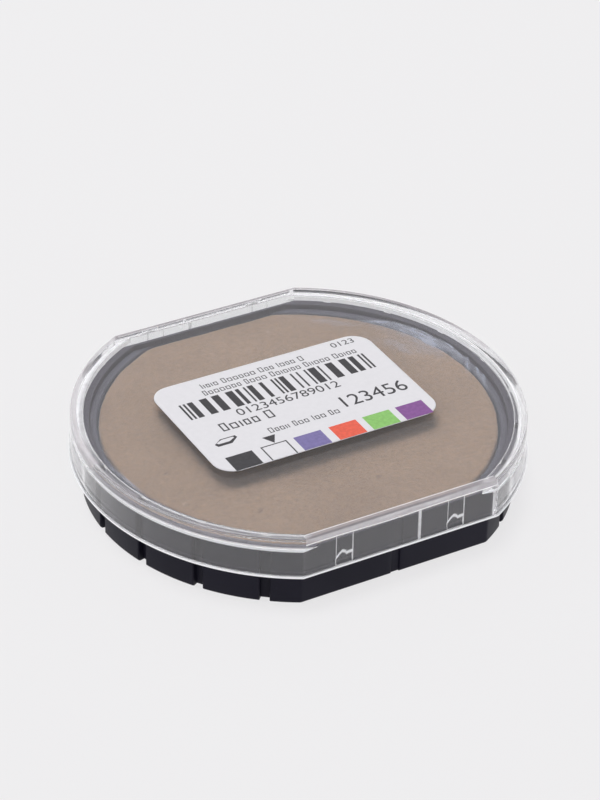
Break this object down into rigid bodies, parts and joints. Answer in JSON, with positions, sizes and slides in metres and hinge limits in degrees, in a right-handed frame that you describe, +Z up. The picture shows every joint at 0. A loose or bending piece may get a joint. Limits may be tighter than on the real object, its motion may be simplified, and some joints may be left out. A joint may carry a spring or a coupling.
{
  "type": "ink pad",
  "caption": "Round ink pad with two parallel flats: a felt pad in a grooved black tray, under a clear lift-off cover with a paper label.",
  "frame": {"origin": "middle of the tray's underside, on the surface that it stands on", "axes": "+X along the two flats, +Y across the flats, +Z up through the cover"},
  "size_m": [0.0512, 0.045, 0.0092],
  "materials": {
    "tray_plastic": "black moulded plastic, satin",
    "felt_core": "dense felt",
    "felt_face": "fine dry felt",
    "clear_film": "thin clear film, wrinkled",
    "clear_plastic": "clear moulded polystyrene, glossy",
    "label_paper": "smooth white label paper, printed"
  },
  "bodies": {
    "tray": {"base_tray": "tray_plastic", "pad_core": "felt_core", "pad_face": "felt_face", "separator_film": "clear_film"},
    "cover": {"cover": "clear_plastic", "cover_label": "label_paper"}
  },
  "joints": [
    {"name": "cover_lift", "type": "slide", "parent": "tray", "child": "cover", "axis": [0, 0, 1], "range_m": [0, 0.012]}
  ]
}
